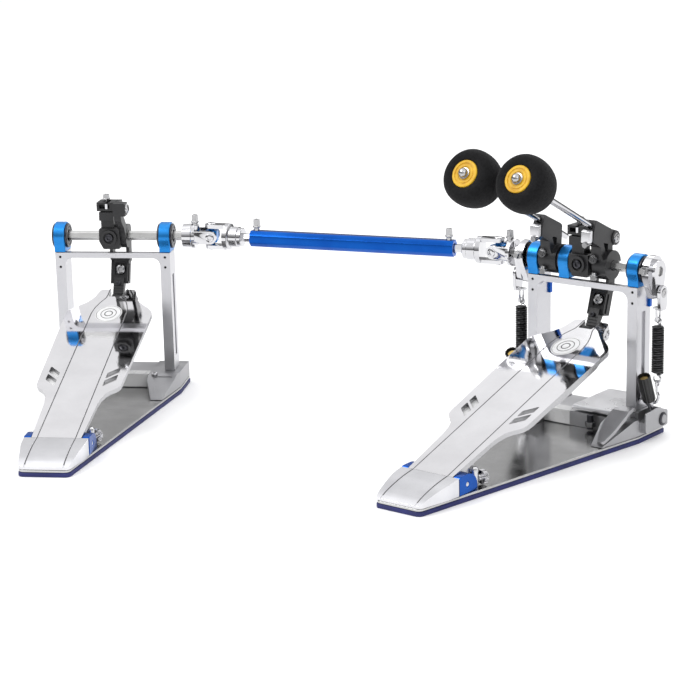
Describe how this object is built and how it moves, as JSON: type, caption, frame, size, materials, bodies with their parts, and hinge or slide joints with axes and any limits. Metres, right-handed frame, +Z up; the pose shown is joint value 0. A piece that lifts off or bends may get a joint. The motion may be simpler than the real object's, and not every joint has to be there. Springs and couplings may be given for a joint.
{
  "type": "double bass drum pedal",
  "caption": "Direct-drive bass drum pedals joined by a universal-jointed shaft, with a beater for each foot, return springs and a clamp for the drum's hoop.",
  "frame": {"origin": "on the floor under the middle of the main pedal's axle", "axes": "+X along the main pedal's axle to the player's right, +Y towards the drum, +Z up"},
  "size_m": [0.6708, 0.5029, 0.301],
  "materials": {
    "main_base_pad": "matt",
    "main_base_plate": "polished",
    "main_base_bridge": "cast, matt",
    "main_heel_plate": "satin",
    "main_hinge_block_left": "anodised, glossy",
    "main_hinge_block_right": "anodised, glossy",
    "main_frame": "satin",
    "main_housing_left": "anodised, glossy",
    "main_housing_centre": "anodised, glossy",
    "main_housing_right": "anodised, glossy",
    "main_bearing_left": "dark satin",
    "main_bearing_centre": "dark satin",
    "main_bearing_right": "dark satin",
    "right_spring_anchor": "mirror",
    "left_spring_anchor": "mirror",
    "slave_base_pad": "matt",
    "slave_base_plate": "polished",
    "slave_base_bridge": "cast, matt",
    "slave_heel_plate": "satin",
    "slave_hinge_block_left": "anodised, glossy",
    "slave_hinge_block_right": "anodised, glossy",
    "slave_frame": "satin",
    "slave_housing_left": "anodised, glossy",
    "slave_housing_right": "anodised, glossy",
    "slave_bearing_left": "dark satin",
    "slave_bearing_right": "dark satin",
    "main_axle": "mirror",
    "main_cam": "satin",
    "right_beater_holder": "satin",
    "right_beater_rod": "mirror",
    "right_beater_head": "felt",
    "right_beater_disc": "satin",
    "right_spring_rocker": "mirror",
    "left_axle": "mirror",
    "left_beater_holder": "satin",
    "left_beater_rod": "mirror",
    "left_beater_head": "felt",
    "left_beater_disc": "satin",
    "left_spring_rocker": "mirror",
    "main_axle_fork": "mirror",
    "slave_axle": "mirror",
    "slave_cam": "satin",
    "slave_axle_fork": "mirror",
    "main_shaft_fork": "mirror",
    "slave_shaft_fork": "mirror",
    "drive_tube": "anodised, glossy",
    "main_cross": "anodised, glossy",
    "slave_cross": "anodised, glossy",
    "main_footboard": "polished",
    "main_link": "satin",
    "slave_footboard": "polished",
    "slave_link": "satin",
    "right_spring": "black oxide",
    "right_spring_stirrup": "mirror",
    "left_spring": "black oxide",
    "left_spring_stirrup": "mirror",
    "right_spring_knob": "matt",
    "left_spring_knob": "matt",
    "clamp_lever": "mirror",
    "clamp_jaw": "cast, matt"
  },
  "bodies": {
    "base": {"main_base_pad": "main_base_pad", "main_base_plate": "main_base_plate", "main_base_bridge": "main_base_bridge", "main_heel_plate": "main_heel_plate", "main_hinge_block_left": "main_hinge_block_left", "main_hinge_block_right": "main_hinge_block_right", "main_frame": "main_frame", "main_housing_left": "main_housing_left", "main_housing_centre": "main_housing_centre", "main_housing_right": "main_housing_right", "main_bearing_left": "main_bearing_left", "main_bearing_centre": "main_bearing_centre", "main_bearing_right": "main_bearing_right", "right_spring_anchor": "right_spring_anchor", "left_spring_anchor": "left_spring_anchor", "slave_base_pad": "slave_base_pad", "slave_base_plate": "slave_base_plate", "slave_base_bridge": "slave_base_bridge", "slave_heel_plate": "slave_heel_plate", "slave_hinge_block_left": "slave_hinge_block_left", "slave_hinge_block_right": "slave_hinge_block_right", "slave_frame": "slave_frame", "slave_housing_left": "slave_housing_left", "slave_housing_right": "slave_housing_right", "slave_bearing_left": "slave_bearing_left", "slave_bearing_right": "slave_bearing_right"},
    "main_drive": {"main_axle": "main_axle", "main_cam": "main_cam", "right_beater_holder": "right_beater_holder", "right_beater_rod": "right_beater_rod", "right_beater_head": "right_beater_head", "right_beater_disc": "right_beater_disc", "right_spring_rocker": "right_spring_rocker"},
    "left_drive": {"left_axle": "left_axle", "left_beater_holder": "left_beater_holder", "left_beater_rod": "left_beater_rod", "left_beater_head": "left_beater_head", "left_beater_disc": "left_beater_disc", "left_spring_rocker": "left_spring_rocker", "main_axle_fork": "main_axle_fork"},
    "slave_drive": {"slave_axle": "slave_axle", "slave_cam": "slave_cam", "slave_axle_fork": "slave_axle_fork"},
    "shaft": {"main_shaft_fork": "main_shaft_fork", "slave_shaft_fork": "slave_shaft_fork", "drive_tube": "drive_tube"},
    "main_cross": {"main_cross": "main_cross"},
    "slave_cross": {"slave_cross": "slave_cross"},
    "main_footboard": {"main_footboard": "main_footboard"},
    "main_link": {"main_link": "main_link"},
    "slave_footboard": {"slave_footboard": "slave_footboard"},
    "slave_link": {"slave_link": "slave_link"},
    "right_spring": {"right_spring": "right_spring"},
    "right_stirrup": {"right_spring_stirrup": "right_spring_stirrup"},
    "left_spring": {"left_spring": "left_spring"},
    "left_stirrup": {"left_spring_stirrup": "left_spring_stirrup"},
    "right_knob": {"right_spring_knob": "right_spring_knob"},
    "left_knob": {"left_spring_knob": "left_spring_knob"},
    "clamp_lever": {"clamp_lever": "clamp_lever"},
    "clamp_jaw": {"clamp_jaw": "clamp_jaw"}
  },
  "joints": [
    {"name": "main_axle_turn", "type": "hinge", "parent": "base", "child": "main_drive", "pos_m": [0, 0, 0.172], "axis": [-1, 0, 0], "range_deg": [0, 63], "stiffness_Nm_per_rad": 0.25, "springref_deg": -22.92},
    {"name": "slave_axle_turn", "type": "hinge", "parent": "base", "child": "slave_drive", "pos_m": [-0.5063, -0.1551, 0.172], "axis": [-0.8576, -0.5143, 0], "range_deg": [0, 63], "stiffness_Nm_per_rad": 0.25, "springref_deg": -22.92},
    {"name": "main_footboard_hinge", "type": "hinge", "parent": "base", "child": "main_footboard", "pos_m": [0, -0.258, 0.0155], "axis": [-1, 0, 0], "range_deg": [0, 6.09]},
    {"name": "main_link_pivot", "type": "hinge", "parent": "main_footboard", "child": "main_link", "pos_m": [0, 0.003, 0.1005], "axis": [-1, 0, 0], "range_deg": [-23.31, 0]},
    {"name": "slave_footboard_hinge", "type": "hinge", "parent": "base", "child": "slave_footboard", "pos_m": [-0.37361, -0.37637, 0.0155], "axis": [-0.8576, -0.5143, 0], "range_deg": [0, 6.09]},
    {"name": "slave_link_pivot", "type": "hinge", "parent": "slave_footboard", "child": "slave_link", "pos_m": [-0.50784, -0.15253, 0.1005], "axis": [-0.8576, -0.5143, 0], "range_deg": [-23.31, 0]},
    {"name": "drive_shaft_turn", "type": "hinge", "parent": "base", "child": "shaft", "pos_m": [-0.108, 0, 0.172], "axis": [-0.9508, -0.3097, 0], "range_deg": [-1, 64]},
    {"name": "left_axle_turn", "type": "hinge", "parent": "base", "child": "left_drive", "pos_m": [0, 0, 0.172], "axis": [-1, 0, 0], "range_deg": [-1, 64]},
    {"name": "main_cross_pivot", "type": "hinge", "parent": "left_drive", "child": "main_cross", "pos_m": [-0.108, 0, 0.172], "axis": [0, 1, 0], "range_deg": [-16.28, 0]},
    {"name": "slave_cross_pivot", "type": "hinge", "parent": "slave_drive", "child": "slave_cross", "pos_m": [-0.41368, -0.09956, 0.172], "axis": [-0.5143, 0.8576, 0], "range_deg": [0, 11.64]},
    {"name": "right_spring_swing", "type": "hinge", "parent": "base", "child": "right_spring", "pos_m": [0.08, 0, 0.056], "axis": [1, 0, 0], "range_deg": [0, 10.02]},
    {"name": "right_stirrup_slide", "type": "slide", "parent": "right_spring", "child": "right_stirrup", "axis": [0, 0, 1], "range_m": [0, 0.0132], "deforming": ["right_spring"]},
    {"name": "left_spring_swing", "type": "hinge", "parent": "base", "child": "left_spring", "pos_m": [-0.08, 0, 0.056], "axis": [1, 0, 0], "range_deg": [0, 10.02]},
    {"name": "left_stirrup_slide", "type": "slide", "parent": "left_spring", "child": "left_stirrup", "axis": [0, 0, 1], "range_m": [0, 0.0132], "deforming": ["left_spring"]},
    {"name": "right_knob_turn", "type": "hinge", "parent": "base", "child": "right_knob", "pos_m": [0.0712, -0.00607, 0.05514], "axis": [0, -0.3907, 0.9205], "range_deg": [-180, 180]},
    {"name": "left_knob_turn", "type": "hinge", "parent": "base", "child": "left_knob", "pos_m": [-0.0712, -0.02472, 0.06621], "axis": [0, -0.5948, 0.8039], "range_deg": [-180, 180]},
    {"name": "clamp_lever_turn", "type": "hinge", "parent": "base", "child": "clamp_lever", "pos_m": [0.056, -0.025, 0.031], "axis": [-1, 0, 0], "range_deg": [0, 55]},
    {"name": "clamp_jaw_turn", "type": "hinge", "parent": "base", "child": "clamp_jaw", "pos_m": [0.016, -0.02, 0.0262], "axis": [1, 0, 0], "range_deg": [0, 6.05]}
  ],
  "couplings": [
    {"joint": "main_footboard_hinge", "follows": "main_axle_turn", "ratio": 0.095948},
    {"joint": "main_link_pivot", "follows": "main_axle_turn", "ratio": -0.36927},
    {"joint": "slave_footboard_hinge", "follows": "slave_axle_turn", "ratio": 0.095948},
    {"joint": "slave_link_pivot", "follows": "slave_axle_turn", "ratio": -0.36927},
    {"joint": "drive_shaft_turn", "follows": "slave_axle_turn", "ratio": 1},
    {"joint": "left_axle_turn", "follows": "slave_axle_turn", "ratio": 1},
    {"joint": "main_cross_pivot", "follows": "slave_axle_turn", "ratio": -0.25686},
    {"joint": "slave_cross_pivot", "follows": "slave_axle_turn", "ratio": 0.18322},
    {"joint": "right_spring_swing", "follows": "main_axle_turn", "ratio": 0.15822},
    {"joint": "right_stirrup_slide", "follows": "main_axle_turn", "m_per_rad": 0.011912},
    {"joint": "left_spring_swing", "follows": "slave_axle_turn", "ratio": 0.15822},
    {"joint": "left_stirrup_slide", "follows": "slave_axle_turn", "m_per_rad": 0.011912},
    {"joint": "clamp_jaw_turn", "follows": "clamp_lever_turn", "ratio": 0.10909}
  ]
}
